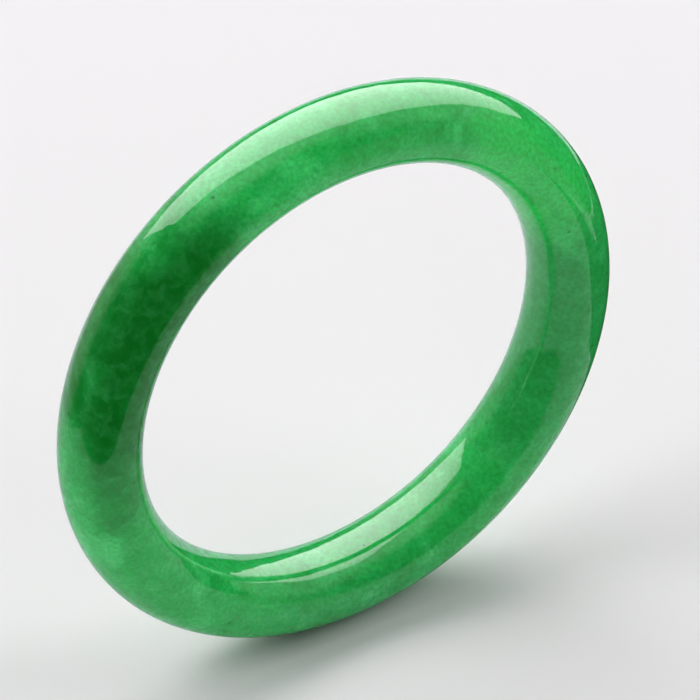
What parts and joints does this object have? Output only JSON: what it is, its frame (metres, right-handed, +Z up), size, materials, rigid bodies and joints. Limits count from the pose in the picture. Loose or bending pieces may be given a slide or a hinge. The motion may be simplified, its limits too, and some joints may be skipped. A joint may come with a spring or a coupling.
{
  "type": "bangle bracelet",
  "caption": "Closed ring bangle carved from a single piece of translucent green stone, nearly round in the bar and polished all over.",
  "frame": {"origin": "the point on the ground that the ring stands on, at the middle of its rim", "axes": "the ring stands on edge like a wheel: +Z up, Y along the ring's axis, X across the ring"},
  "size_m": [0.0756, 0.0108, 0.0756],
  "materials": {
    "jade": "polished"
  },
  "bodies": {
    "root": {"jade_bangle": "jade"}
  },
  "joints": []
}
